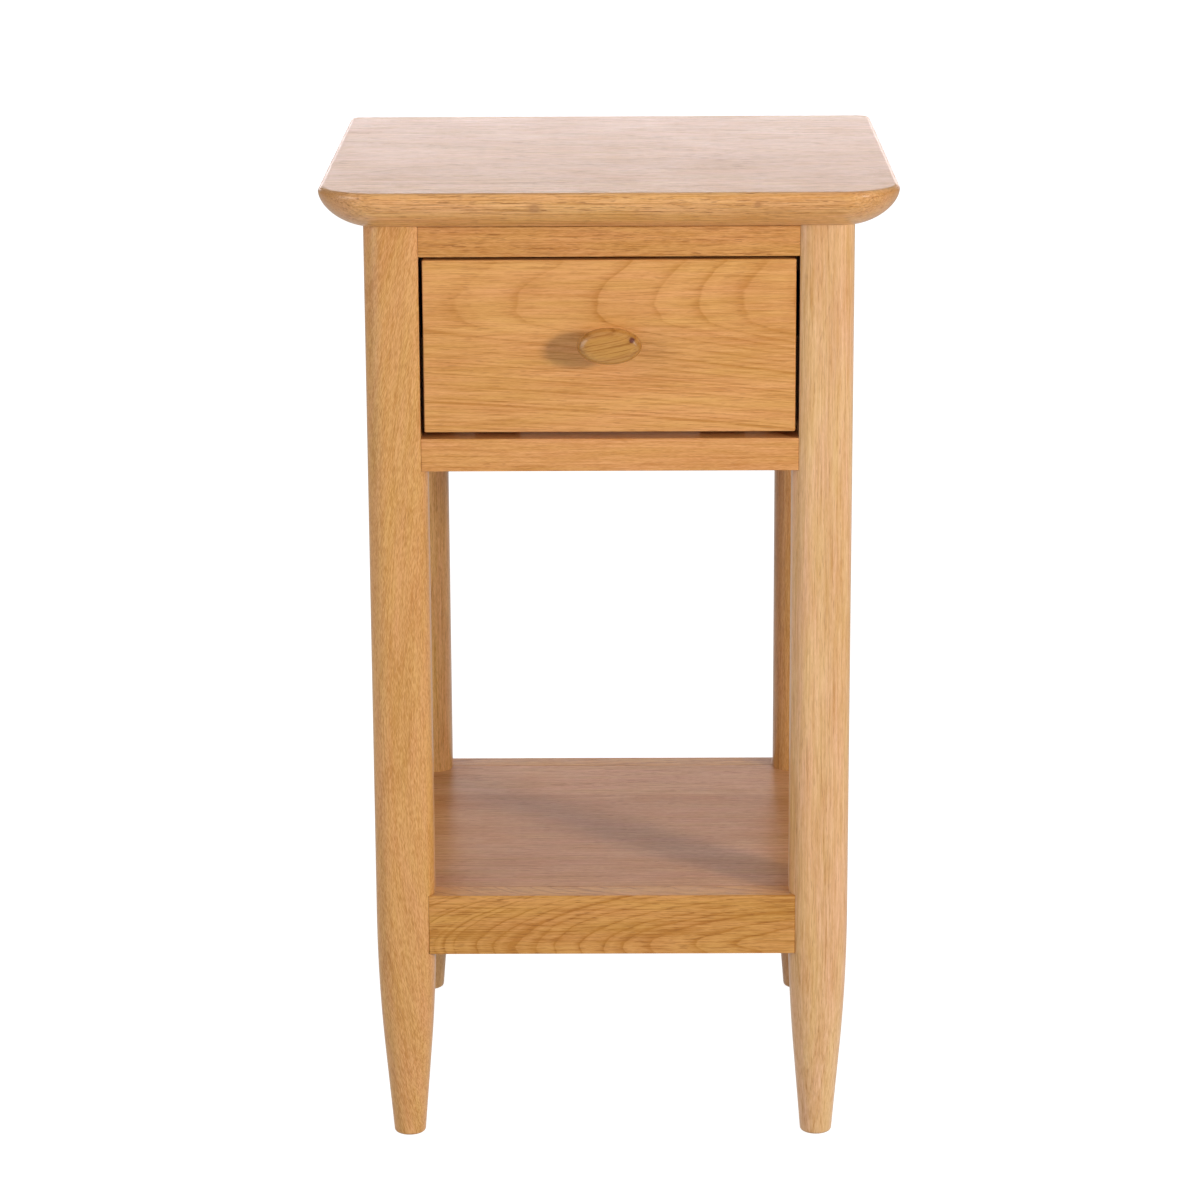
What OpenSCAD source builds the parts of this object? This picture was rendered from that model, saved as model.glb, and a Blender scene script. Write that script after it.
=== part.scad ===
// Side table with one drawer and a low shelf, in solid wood.
// X runs to the right, Y to the back and Z up. The origin is on the floor,
// under the middle of the table's box.

/* [Table] */
// Width of the table top
table_w = 380; // [350:1:480]
// Depth of the table top
table_d = 366; // [330:1:480]
// Height from the floor to the top surface
table_h = 663; // [600:1:760]

/* [Top board] */
// Thickness of the top board
top_t = 26; // [24:1:32]
// Plan radius of the two front corners
top_front_r = 40; // [36:1:60]
// Plan radius of the two back corners
top_back_r = 5; // [2:1:12]
// Radius of the upper arris of the edge
top_arris_r = 3.5; // [2:0.5:5]
// How far the undercut of the edge reaches inward
undercut_in = 30.5; // [20:0.5:34]
// Exponent of the undercut's curve, 2 being an ellipse
undercut_n = 1.7; // [1.4:0.1:2.4]
// Overhang of the top past the legs at each side
side_overhang = 29; // [22:1:40]
// Overhang of the top past the front legs
front_overhang = 24; // [20:1:40]
// Overhang of the top past the back legs
back_overhang = 12.5; // [5:0.5:30]

/* [Legs] */
// Width of the square leg
leg_w = 40; // [38:1:46]
// Rounding of the four corners of the leg
leg_r = 14; // [12:0.5:16]
// Height at which the leg starts to taper
taper_z = 160; // [120:5:177]
// Height below which the taper is straight
straight_z = 61; // [50:1:90]
// Radius of the long curve of the taper
taper_r = 1180; // [1000:10:2000]

/* [Rails] */
// Recess of the rails behind the faces of the legs
recess = 4; // [3:0.5:5]
// Height of the case, from its lower edge to the top board
case_h = 163.5; // [150:0.5:200]
// Height of the rail over the drawer
upper_rail_h = 20; // [18:1:26]
// Height of the rail under the drawer
lower_rail_h = 22; // [20:1:28]
// Thickness of the side and back aprons
apron_t = 18; // [16:1:20]

/* [Shelf] */
// Height from the floor to the upper face of the shelf
shelf_z = 177; // [150:1:220]
// Height of the four shelf rails
shelf_rail_h = 42; // [36:1:60]
// Thickness of the four shelf rails
shelf_rail_t = 20; // [18:1:22]
// Thickness of the shelf panel
shelf_t = 14; // [12:1:18]

/* [Drawer] */
// Gap between the drawer front and each leg
side_gap = 2.5; // [1.5:0.5:3]
// Gap between the drawer front and the upper rail
top_gap = 2; // [1.5:0.5:4]
// Gap between the drawer front and the lower rail
bottom_gap = 4.5; // [3:0.5:6]
// Thickness of the drawer front
front_t = 20; // [18:1:24]
// Thickness of the drawer's sides and back
side_t = 10; // [9:1:12]
// Height of the drawer's sides
side_h = 100; // [90:1:105]
// Space between the closed drawer and the back apron
drawer_back_gap = 13.5; // [6:0.5:30]
// Thickness of the drawer bottom
bottom_t = 6; // [4:1:8]
// Width of the oval knob
knob_w = 42.5; // [36:0.5:50]
// Height of the oval knob
knob_h = 24.5; // [20:0.5:30]
// How far the knob stands out
knob_out = 24; // [20:1:26]

/* [Hidden] */

$fn = 48;
eps = 0.01;
oak = "#c98b52";
light_oak = "#d3a06b";
shelf_oak = "#b87a47";
inner_oak = "#d9b384";
steel = "#b9bcc0";

// Heights of the case
under_z = table_h - top_t;
case_z = under_z - case_h;
upper_rail_z = under_z - upper_rail_h;
lower_rail_top = case_z + lower_rail_h;
shelf_rail_z = shelf_z - shelf_rail_h;

// Places of the legs and of the faces that the rails follow
leg_x = table_w / 2 - side_overhang - leg_w / 2;
leg_front_y = -table_d / 2 + front_overhang + leg_w / 2;
leg_back_y = table_d / 2 - back_overhang - leg_w / 2;
face_x = leg_x + leg_w / 2 - recess;
face_front_y = leg_front_y - leg_w / 2 + recess;
face_back_y = leg_back_y + leg_w / 2 - recess;
// Planes that the inner faces of the legs are planed to
flat_x = leg_x - leg_w / 2 + recess;
flat_front_y = leg_front_y + leg_w / 2 - recess;
flat_back_y = leg_back_y - leg_w / 2 + recess;
front_rail_d = flat_front_y - face_front_y;

// Joints
tenon_l = 18;
tenon_t = 8;
tenon_shoulder = 6;
mortise_end = 0.5;
side_tenon_x = flat_x + tenon_l + mortise_end + 0.5;
tongue_t = 6;
tongue_l = 6;
tongue_drop = 4;
groove_z = under_z - 15;
groove_h = 6;
groove_d = 6;

// Inside of the case
apron_in_x = face_x - apron_t;
apron_in_y = face_back_y - apron_t;
slide_gap = 0.4;
guide_gap = 1;
drawer_half_w = flat_x - side_gap;
drawer_z = lower_rail_top + bottom_gap;
drawer_front_h = upper_rail_z - top_gap - drawer_z;
runner_top = drawer_z - slide_gap;
runner_h = 20;
runner_in_x = drawer_half_w - side_t - 8;
guide_in_x = drawer_half_w + guide_gap;
guide_h = 58.5;
kicker_gap = 2;
kicker_z = drawer_z + side_h + kicker_gap;
kicker_in_x = drawer_half_w - side_t;
stop_x = 75;
stop_w = 30;
stop_over = 4;
stop_gap = 0.4;

// Drawer box
front_back_y = face_front_y + front_t;
drawer_end_y = apron_in_y - drawer_back_gap;
back_front_y = drawer_end_y - side_t;
bottom_z = drawer_z + 6;
bottom_top = bottom_z + bottom_t;
bottom_in = 5;
tail_lap = 12;
tail_count = 3;
tail_slope = tan(8);
knob_z = drawer_z + drawer_front_h / 2 + 3.5;

// Fixings
screw_r = 2;
screw_head_r = 4;
screw_head_h = 3;
screw_tip_h = 4;
slot_w = 1;
slot_d = 1.2;
button_w = 24;
button_l = 26;
button_h = 16;
button_x = 70;
button_screw_y = apron_in_y - button_l / 2;
rail_screw_x = 80;
kicker_screw_x = (kicker_in_x + apron_in_x) / 2 + 3;
strip_screw_ys = [flat_front_y + 55, flat_back_y - 45];
runner_screw_z = runner_top - runner_h / 2;
bottom_screw_xs = [-70, 0, 70];

// A block given by its lowest and highest corners
module block(low, high) {
    translate(low)
        cube(high - low);
}

// A closed skin over a stack of rings, each with the same number of points
module skin(rings) {
    count = len(rings[0]);
    last = len(rings) - 1;
    walls = [for (j = [0:last - 1]) for (i = [0:count - 1])
        let (n = (i + 1) % count)
        [j * count + i, (j + 1) * count + i, (j + 1) * count + n, j * count + n]];
    lower_face = [for (i = [0:count - 1]) i];
    upper_face = [for (i = [count - 1:-1:0]) last * count + i];
    polyhedron([for (r = rings) each r], concat([lower_face, upper_face], walls), convexity = 4);
}

// The children as drawn on the right (side = 1), or mirrored to the left (side = -1)
module on_side(side) {
    mirror([side < 0 ? 1 : 0, 0, 0])
        children();
}

// ---- Fixings ----

// A countersunk screw that points up, with its head's face at the origin
module screw_body(length) {
    cylinder(r1 = screw_head_r, r2 = screw_r, h = screw_head_h);
    translate([0, 0, screw_head_h - eps])
        cylinder(r = screw_r, h = length - screw_head_h - screw_tip_h + eps);
    translate([0, 0, length - screw_tip_h - eps])
        cylinder(r1 = screw_r, r2 = screw_r / 4, h = screw_tip_h + eps);
}

module screw(length) {
    difference() {
        screw_body(length);
        translate([-screw_head_r - 1, -slot_w / 2, -eps])
            cube([2 * screw_head_r + 2, slot_w, slot_d + eps]);
    }
}

rail_screw_l = upper_rail_h + 15;
kicker_screw_l = under_z - kicker_z + 16;
button_screw_l = button_h + 14;
runner_screw_l = 48;
bottom_screw_l = 26;
knob_screw_in = 14;
knob_screw_l = front_t + knob_screw_in;

// Places of each group of screws. The child is the screw, or the hole that it fills.
module at_rail_screws() {
    for (x = [-rail_screw_x, rail_screw_x])
        translate([x, face_front_y + front_rail_d / 2, upper_rail_z])
            children();
}

module at_kicker_screws() {
    for (x = [-kicker_screw_x, kicker_screw_x])
        for (y = strip_screw_ys)
            translate([x, y, kicker_z])
                children();
}

module at_button_screws() {
    for (x = [-button_x, button_x])
        translate([x, button_screw_y, under_z - button_h])
            children();
}

module at_runner_screws() {
    for (side = [-1, 1])
        on_side(side)
            for (y = strip_screw_ys)
                translate([runner_in_x, y, runner_screw_z])
                    rotate([0, 90, 0])
                        children();
}

module at_bottom_screws() {
    for (x = bottom_screw_xs)
        translate([x, back_front_y + side_t / 2, bottom_z])
            children();
}

module at_knob_screw() {
    translate([0, front_back_y, knob_z])
        rotate([90, 0, 0])
            children();
}

// ---- Top board ----

// Edge profile of the top: x is the distance in from the edge, y the height.
// The undercut is a quarter of a superellipse.
function undercut(i, steps) =
    let (
        a = 90 * i / steps,
        across = undercut_in * (1 - pow(cos(a), 2 / undercut_n)),
        down = (top_t - top_arris_r) * pow(sin(a), 2 / undercut_n)
    )
    [across, top_t - top_arris_r - down];

function arris(i, steps) =
    let (a = 90 * i / steps)
    [top_arris_r * (1 - sin(a)), top_t - top_arris_r * (1 - cos(a))];

module edge_profile() {
    steps = 14;
    under = [for (i = [steps:-1:0]) undercut(i, steps)];
    upper = [for (i = [5:-1:0]) arris(i, 6)];
    polygon(concat(under, upper, [[top_front_r, top_t], [top_front_r, 0]]));
}

// A straight stretch of edge along +Y, its outer edge on the line x = 0
module straight_edge(length) {
    translate([0, length, 0])
        rotate([90, 0, 0])
            linear_extrude(length)
                edge_profile();
}

module top_board() {
    in_x = table_w / 2 - top_front_r;
    in_y = -table_d / 2 + top_front_r;
    color(oak)
        translate([0, 0, under_z])
            difference() {
                union() {
                    block([-in_x, in_y, 0], [in_x, table_d / 2, top_t]);
                    for (side = [-1, 1])
                        on_side(side) {
                            translate([table_w / 2, in_y, 0])
                                mirror([1, 0, 0])
                                    straight_edge(table_d / 2 - in_y);
                            translate([in_x, in_y, 0])
                                rotate([0, 0, -90])
                                    rotate_extrude(angle = 90)
                                        translate([top_front_r, 0])
                                            mirror([1, 0])
                                                edge_profile();
                        }
                    translate([in_x, -table_d / 2, 0])
                        rotate([0, 0, 90])
                            straight_edge(2 * in_x);
                }
                for (side = [-1, 1])
                    on_side(side)
                        translate([table_w / 2 - top_back_r, table_d / 2 - top_back_r, -1])
                            linear_extrude(top_t + 2)
                                difference() {
                                    square(top_back_r + 1);
                                    circle(r = top_back_r);
                                }
                translate([0, 0, -under_z]) {
                    at_rail_screws() screw_body(rail_screw_l);
                    at_kicker_screws() screw_body(kicker_screw_l);
                    at_button_screws() screw_body(button_screw_l);
                }
            }
}

// ---- Legs ----

// Half the width of the leg at height z: straight, then a long arc, then a straight taper
function leg_half(z) =
    let (
        arc = function (h) taper_r - sqrt(pow(taper_r, 2) - pow(taper_z - h, 2)),
        slope = (taper_z - straight_z) / sqrt(pow(taper_r, 2) - pow(taper_z - straight_z, 2))
    )
    z >= taper_z ? leg_w / 2
    : z >= straight_z ? leg_w / 2 - arc(z)
    : leg_w / 2 - arc(straight_z) - slope * (straight_z - z);

// Share of the half width that the corner rounding takes: nearly a circle at the floor
function leg_round(z) =
    let (square_share = 2 * leg_r / leg_w, round_share = 0.98)
    square_share + (round_share - square_share) * (1 - min(z, taper_z) / taper_z);

// One level of the leg's outline as a ring of points
function leg_ring(z, corner_steps) =
    let (half = leg_half(z), r = half * leg_round(z), c = half - r)
    [for (k = [0:3])
        for (i = [0:corner_steps])
            let (
                a = 90 * (k + i / corner_steps),
                mid = 45 + 90 * k
            )
            [c * sign(cos(mid)) + r * cos(a), c * sign(sin(mid)) + r * sin(a), z]];

// The leg before its joints are cut, as a skin over its levels
module leg_blank() {
    arc_levels = [for (i = [0:9]) straight_z + (taper_z - straight_z) * i / 9];
    skin([for (z = concat([0, straight_z / 2], arc_levels, [under_z])) leg_ring(z, 6)]);
}

// Stock planed off the two inner faces of a leg where rails meet it, from z0 to z1.
// Depth is 1 on a front leg, whose inner face looks back, and -1 on a back leg.
module planed(depth, z0, z1) {
    inner = -leg_w / 2 + recess;
    mirror([0, depth > 0 ? 0 : 1, 0]) {
        block([-leg_w, -leg_w, z0], [inner, leg_w, z1]);
        block([-leg_w, -inner, z0], [leg_w, leg_w, z1]);
    }
}

// The leg at the right, with the mortises of the rails that end in it
module leg(depth) {
    y = depth > 0 ? leg_front_y : leg_back_y;
    difference() {
        translate([leg_x, y, 0])
            difference() {
                leg_blank();
                planed(depth, case_z, under_z + 1);
                planed(depth, shelf_rail_z, shelf_z);
            }
        if (depth > 0) {
            upper_rail_tenon(mortise_end);
            lower_rail_tenon(mortise_end);
            shelf_cross_tenon(face_front_y, mortise_end);
        } else {
            back_apron_tenon(mortise_end);
            shelf_cross_tenon(face_back_y - shelf_rail_t, mortise_end);
        }
        apron_tenon(depth, mortise_end);
        shelf_side_tenon(depth, mortise_end);
    }
}

// ---- Tenons at the right end of each rail; extra lengthens one into its mortise ----

module cross_tenon(y0, y1, z0, z1, extra) {
    block([flat_x - eps, y0, z0], [flat_x + tenon_l + extra, y1, z1]);
}

module upper_rail_tenon(extra) {
    z_mid = upper_rail_z + upper_rail_h / 2;
    cross_tenon(face_front_y + tenon_shoulder, face_front_y + front_rail_d - tenon_shoulder,
        z_mid - tenon_t / 2, z_mid + tenon_t / 2, extra);
}

module lower_rail_tenon(extra) {
    z_mid = case_z + lower_rail_h / 2;
    cross_tenon(face_front_y + tenon_shoulder, face_front_y + front_rail_d - tenon_shoulder,
        z_mid - tenon_t / 2, z_mid + tenon_t / 2, extra);
}

module back_apron_tenon(extra) {
    y_mid = apron_in_y + apron_t / 2;
    cross_tenon(y_mid - tenon_t / 2, y_mid + tenon_t / 2,
        case_z + tenon_shoulder, under_z - 3 * tenon_shoulder, extra);
}

module shelf_cross_tenon(y0, extra) {
    y_mid = y0 + shelf_rail_t / 2;
    cross_tenon(y_mid - tenon_t / 2, y_mid + tenon_t / 2,
        shelf_rail_z + tenon_shoulder, shelf_z - tenon_shoulder, extra);
}

// Tenons that run along Y, outside the ends of those that run along X
module long_tenon(depth, z0, z1, extra) {
    flat_y = depth > 0 ? flat_front_y : flat_back_y;
    tip_y = flat_y - depth * (tenon_l + extra);
    start_y = flat_y + depth * eps;
    block([side_tenon_x, min(tip_y, start_y), z0],
        [side_tenon_x + tenon_t, max(tip_y, start_y), z1]);
}

module apron_tenon(depth, extra) {
    long_tenon(depth, case_z + tenon_shoulder, under_z - 3 * tenon_shoulder, extra);
}

module shelf_side_tenon(depth, extra) {
    long_tenon(depth, shelf_rail_z + tenon_shoulder, shelf_z - tenon_shoulder, extra);
}

// A rail along X with its two tenons as the child
module cross_rail(y0, y1, z0, z1) {
    block([-flat_x, y0, z0], [flat_x, y1, z1]);
    for (side = [-1, 1])
        on_side(side)
            children();
}

// ---- Case ----

module upper_front_rail() {
    color(oak)
        difference() {
            cross_rail(face_front_y, face_front_y + front_rail_d, upper_rail_z, under_z)
                upper_rail_tenon(0);
            at_rail_screws() screw_body(rail_screw_l);
        }
}

module lower_front_rail() {
    color(oak)
        cross_rail(face_front_y, face_front_y + front_rail_d, case_z, lower_rail_top)
            lower_rail_tenon(0);
}

// The apron at the right, with the holes of the runner's screws
module side_apron(side) {
    color(oak)
        difference() {
            on_side(side) {
                block([apron_in_x, flat_front_y, case_z], [face_x, flat_back_y, under_z]);
                apron_tenon(1, 0);
                apron_tenon(-1, 0);
            }
            at_runner_screws() screw_body(runner_screw_l);
        }
}

module back_apron() {
    color(oak)
        difference() {
            cross_rail(apron_in_y, face_back_y, case_z, under_z)
                back_apron_tenon(0);
            block([-flat_x - 1, apron_in_y - 1, groove_z],
                [flat_x + 1, apron_in_y + groove_d, groove_z + groove_h]);
        }
}

// Strip that a drawer side slides on, notched round the back leg
module drawer_runner(side) {
    runner_z = runner_top - runner_h;
    color(inner_oak)
        difference() {
            on_side(side)
                difference() {
                    block([runner_in_x, flat_front_y, runner_z], [apron_in_x, apron_in_y, runner_top]);
                    block([flat_x, flat_back_y, runner_z - 1],
                        [apron_in_x + 1, apron_in_y + 1, runner_top + 1]);
                }
            at_runner_screws() screw_body(runner_screw_l);
        }
}

// Strip that keeps the drawer straight, glued on the runner and against the apron
module drawer_guide(side) {
    color(inner_oak)
        on_side(side)
            block([guide_in_x, flat_front_y, runner_top], [apron_in_x, flat_back_y, runner_top + guide_h]);
}

// Strip over a drawer side that stops the open drawer tipping and holds the top down
module drawer_kicker(side) {
    color(inner_oak)
        difference() {
            on_side(side)
                block([kicker_in_x, flat_front_y, kicker_z], [apron_in_x, flat_back_y, under_z]);
            at_kicker_screws() screw_body(kicker_screw_l);
        }
}

// Two small blocks on the lower rail that the closed drawer front comes up to
module drawer_stops() {
    color(inner_oak)
        for (side = [-1, 1])
            on_side(side)
                block([stop_x - stop_w / 2, front_back_y + stop_gap, lower_rail_top],
                    [stop_x + stop_w / 2, face_front_y + front_rail_d, drawer_z + stop_over]);
}

// Wooden buttons with a tongue in the groove of the back apron, which hold the top down
module top_buttons() {
    color(inner_oak)
        difference() {
            for (side = [-1, 1])
                on_side(side) {
                    block([button_x - button_w / 2, apron_in_y - button_l, under_z - button_h],
                        [button_x + button_w / 2, apron_in_y, under_z]);
                    block([button_x - button_w / 2, apron_in_y - eps, groove_z],
                        [button_x + button_w / 2, apron_in_y + groove_d - mortise_end,
                            groove_z + groove_h]);
                }
            at_button_screws() screw_body(button_screw_l);
        }
}

module button_screws() {
    color(steel)
        at_button_screws() screw(button_screw_l);
}

module top_screws() {
    color(steel) {
        at_rail_screws() screw(rail_screw_l);
        at_kicker_screws() screw(kicker_screw_l);
    }
}

module runner_screws() {
    color(steel)
        at_runner_screws() screw(runner_screw_l);
}

// ---- Shelf ----

tongue_z = shelf_z - tongue_drop - tongue_t;

// The tongue round the shelf panel. Extra deepens it into the groove that it runs in.
module shelf_tongue(extra) {
    reach = tongue_l + extra;
    block([-flat_x, face_front_y + shelf_rail_t - reach, tongue_z],
        [flat_x, face_back_y - shelf_rail_t + reach, tongue_z + tongue_t]);
    block([-face_x + shelf_rail_t - reach, flat_front_y, tongue_z],
        [face_x - shelf_rail_t + reach, flat_back_y, tongue_z + tongue_t]);
}

module shelf_panel() {
    in_x = face_x - shelf_rail_t;
    in_front_y = face_front_y + shelf_rail_t;
    in_back_y = face_back_y - shelf_rail_t;
    color(shelf_oak) {
        block([-flat_x, in_front_y, shelf_z - shelf_t], [flat_x, in_back_y, shelf_z]);
        block([-in_x, flat_front_y, shelf_z - shelf_t], [in_x, flat_back_y, shelf_z]);
        shelf_tongue(0);
    }
}

module shelf_cross_rail(y0) {
    color(shelf_oak)
        difference() {
            cross_rail(y0, y0 + shelf_rail_t, shelf_rail_z, shelf_z)
                shelf_cross_tenon(y0, 0);
            shelf_tongue(mortise_end);
        }
}

module shelf_front_rail() {
    shelf_cross_rail(face_front_y);
}

module shelf_back_rail() {
    shelf_cross_rail(face_back_y - shelf_rail_t);
}

module shelf_side_rail(side) {
    color(shelf_oak)
        difference() {
            on_side(side) {
                block([face_x - shelf_rail_t, flat_front_y, shelf_rail_z],
                    [face_x, flat_back_y, shelf_z]);
                shelf_side_tenon(1, 0);
                shelf_side_tenon(-1, 0);
            }
            shelf_tongue(mortise_end);
        }
}

// ---- Drawer ----

// Row of dovetails in the Y-Z plane. They grow from the line y = 0 towards +y.
module tails(length, z0, z1) {
    pitch = (z1 - z0) / tail_count;
    half = pitch * 0.29;
    for (k = [0:tail_count - 1])
        translate([0, z0 + pitch * (k + 0.5)])
            polygon([
                [-eps, -half], [length, -half - length * tail_slope],
                [length, half + length * tail_slope], [-eps, half]
            ]);
}

module front_tails() {
    translate([front_back_y, 0])
        mirror([1, 0])
            tails(tail_lap, drawer_z, drawer_z + side_h);
}

module back_tails() {
    translate([back_front_y, 0])
        tails(side_t, bottom_top, drawer_z + side_h);
}

// An outline in the Y-Z plane as a plate of the drawer side's thickness, at the right
module side_plate() {
    translate([drawer_half_w - side_t, 0, 0])
        rotate([90, 0, 90])
            linear_extrude(side_t)
                children();
}

module drawer_side(side) {
    color(light_oak)
        on_side(side)
            difference() {
                side_plate() {
                    translate([front_back_y, drawer_z])
                        square([back_front_y - front_back_y, side_h]);
                    translate([back_front_y - eps, drawer_z])
                        square([side_t + eps, bottom_top - drawer_z]);
                    front_tails();
                    back_tails();
                }
                bottom_panel_body();
            }
}

// Slab of the drawer bottom, held in the grooves of the front and the sides
module bottom_panel_body() {
    reach = drawer_half_w - side_t + bottom_in;
    block([-reach, front_back_y - bottom_in, bottom_z], [reach, drawer_end_y, bottom_top]);
}

module drawer_front() {
    color(oak)
        difference() {
            block([-drawer_half_w, face_front_y, drawer_z],
                [drawer_half_w, front_back_y, drawer_z + drawer_front_h]);
            for (side = [-1, 1])
                on_side(side)
                    side_plate() front_tails();
            bottom_panel_body();
            at_knob_screw() screw_body(knob_screw_l);
        }
}

module drawer_back() {
    color(light_oak)
        difference() {
            block([-drawer_half_w, back_front_y, bottom_top],
                [drawer_half_w, drawer_end_y, drawer_z + side_h]);
            for (side = [-1, 1])
                on_side(side)
                    side_plate() back_tails();
            at_bottom_screws() screw_body(bottom_screw_l);
        }
}

module drawer_bottom() {
    color(inner_oak)
        difference() {
            bottom_panel_body();
            at_bottom_screws() screw_body(bottom_screw_l);
        }
}

module bottom_screws() {
    color(steel)
        at_bottom_screws() screw(bottom_screw_l);
}

// Half profile of the knob: x is the distance from its axis, y the height over the front.
// A waisted neck opens into a rounded head.
function knob_profile(head_r, neck_r, out, steps) =
    let (
        rim_z = out * 0.62,
        waist_z = out * 0.2,
        crown_end = 86,
        neck = [for (i = [0:steps])
            let (a = 90 * i / steps)
            [neck_r + (head_r - neck_r) * (1 - cos(a)), waist_z + (rim_z - waist_z) * sin(a)]],
        crown = [for (i = [1:steps])
            let (a = crown_end * i / steps)
            [head_r * pow(cos(a), 0.8), rim_z + (out - rim_z) * sin(a) / sin(crown_end)]]
    )
    concat([[neck_r, 0]], neck, crown);

module drawer_knob() {
    count = 32;
    profile = knob_profile(knob_w / 2, knob_w * 0.3, knob_out, 6);
    color(oak)
        translate([0, face_front_y, knob_z])
            rotate([90, 0, 0])
                difference() {
                    skin([for (p = profile)
                        [for (i = [0:count - 1])
                            let (a = 360 * i / count)
                            [p.x * cos(a), p.x * sin(a) * knob_h / knob_w, p.y]]]);
                    translate([0, 0, -1])
                        cylinder(r = screw_r, h = knob_screw_in + 1);
                }
}

module knob_screw() {
    color(steel)
        at_knob_screw() screw(knob_screw_l);
}

module leg_node(side, depth) {
    color(oak)
        on_side(side)
            leg(depth);
}

top_board();
leg_node(-1, 1);  // leg_front_left
leg_node(1, 1);  // leg_front_right
leg_node(-1, -1);  // leg_back_left
leg_node(1, -1);  // leg_back_right
upper_front_rail();
lower_front_rail();
side_apron(-1);  // side_apron_left
side_apron(1);  // side_apron_right
back_apron();
shelf_front_rail();
shelf_back_rail();
shelf_side_rail(-1);  // shelf_side_rail_left
shelf_side_rail(1);  // shelf_side_rail_right
shelf_panel();
drawer_runner(-1);  // drawer_runner_left
drawer_runner(1);  // drawer_runner_right
drawer_guide(-1);  // drawer_guide_left
drawer_guide(1);  // drawer_guide_right
drawer_kicker(-1);  // drawer_kicker_left
drawer_kicker(1);  // drawer_kicker_right
drawer_stops();
top_buttons();
button_screws();
top_screws();
runner_screws();
drawer_front();
drawer_side(-1);  // drawer_side_left
drawer_side(1);  // drawer_side_right
drawer_back();
drawer_bottom();
drawer_knob();
knob_screw();
bottom_screws();
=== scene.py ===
"""Looks of the side table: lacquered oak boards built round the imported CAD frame."""

import math

import bmesh
import bpy
from mathutils import Matrix, Vector


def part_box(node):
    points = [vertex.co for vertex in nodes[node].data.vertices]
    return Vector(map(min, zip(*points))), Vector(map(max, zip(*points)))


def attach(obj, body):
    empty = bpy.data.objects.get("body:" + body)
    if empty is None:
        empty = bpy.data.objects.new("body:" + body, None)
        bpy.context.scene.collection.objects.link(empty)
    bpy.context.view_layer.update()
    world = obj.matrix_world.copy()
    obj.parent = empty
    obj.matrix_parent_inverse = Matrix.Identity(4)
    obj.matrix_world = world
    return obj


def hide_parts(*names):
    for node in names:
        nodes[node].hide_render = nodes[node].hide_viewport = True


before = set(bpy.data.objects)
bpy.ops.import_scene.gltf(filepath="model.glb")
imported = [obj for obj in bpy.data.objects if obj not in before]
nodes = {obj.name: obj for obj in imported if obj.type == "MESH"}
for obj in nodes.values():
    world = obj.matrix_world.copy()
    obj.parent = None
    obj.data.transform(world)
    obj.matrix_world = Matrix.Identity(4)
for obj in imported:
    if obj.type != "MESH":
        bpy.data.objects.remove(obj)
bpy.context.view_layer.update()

MM = 0.001
scene = bpy.context.scene


# ---------------------------------------------------------------- mesh helpers

def add_object(name, bm):
    """A new object from a bmesh, which is used up."""
    bmesh.ops.recalc_face_normals(bm, faces=bm.faces)
    mesh = bpy.data.meshes.new(name)
    bm.to_mesh(mesh)
    bm.free()
    obj = bpy.data.objects.new(name, mesh)
    scene.collection.objects.link(obj)
    return obj


def skin(name, rings):
    """A closed skin over a stack of rings that all have the same number of points."""
    bm = bmesh.new()
    rows = [[bm.verts.new(point) for point in ring] for ring in rings]
    count = len(rows[0])
    for lower, upper in zip(rows, rows[1:]):
        for i in range(count):
            n = (i + 1) % count
            bm.faces.new((lower[i], lower[n], upper[n], upper[i]))
    bm.faces.new(rows[0][::-1])
    bm.faces.new(rows[-1])
    return add_object(name, bm)


def board(name, low, high, arris=0.7 * MM, steps=3):
    """A squared board with rounded arrises, given by its lowest and highest corners."""
    low = Vector(low)
    high = Vector(high)
    bm = bmesh.new()
    bmesh.ops.create_cube(bm, size=1)
    bmesh.ops.transform(bm, matrix=Matrix.Diagonal((high - low).to_4d()), verts=bm.verts)
    bmesh.ops.translate(bm, vec=(low + high) / 2, verts=bm.verts)
    if arris:
        bmesh.ops.bevel(bm, geom=bm.edges[:], offset=arris, segments=steps, profile=0.5,
                        affect="EDGES", clamp_overlap=True)
    return add_object(name, bm)


def combine(obj, tool, operation, keep_tool=False):
    """Boolean of obj with tool. The tool goes, unless it is a CAD node."""
    mod = obj.modifiers.new("combine", "BOOLEAN")
    mod.operation = operation
    mod.solver = "EXACT"
    mod.object = tool
    result = bpy.data.meshes.new_from_object(obj.evaluated_get(bpy.context.evaluated_depsgraph_get()))
    obj.modifiers.clear()
    obj.data = result
    if not keep_tool:
        bpy.data.objects.remove(tool)


def cut_block(obj, low, high):
    combine(obj, board("tool", low, high, arris=0), "DIFFERENCE")


def smooth(obj, angle=28):
    """Smooth shading that breaks at sharp edges and stays flat on flat faces."""
    obj.data.shade_smooth()
    obj.data.set_sharp_from_angle(angle=math.radians(angle))
    mod = obj.modifiers.new("flat faces", "WEIGHTED_NORMAL")
    mod.keep_sharp = True


def place(obj, body, slot, material, *replaced):
    """The piece rides on its body, stands for its CAD nodes and gets its material."""
    smooth(obj)
    obj.data.materials.clear()
    obj.data.materials.append(material)
    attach(obj, body)
    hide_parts(*replaced)


# ---------------------------------------------------------------- oak

def srgb(red, green, blue):
    """A colour given in 0-255 sRGB as linear RGBA."""
    def linear(value):
        value /= 255
        return value / 12.92 if value <= 0.04045 else ((value + 0.055) / 1.055) ** 2.4
    return (linear(red), linear(green), linear(blue), 1)


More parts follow.
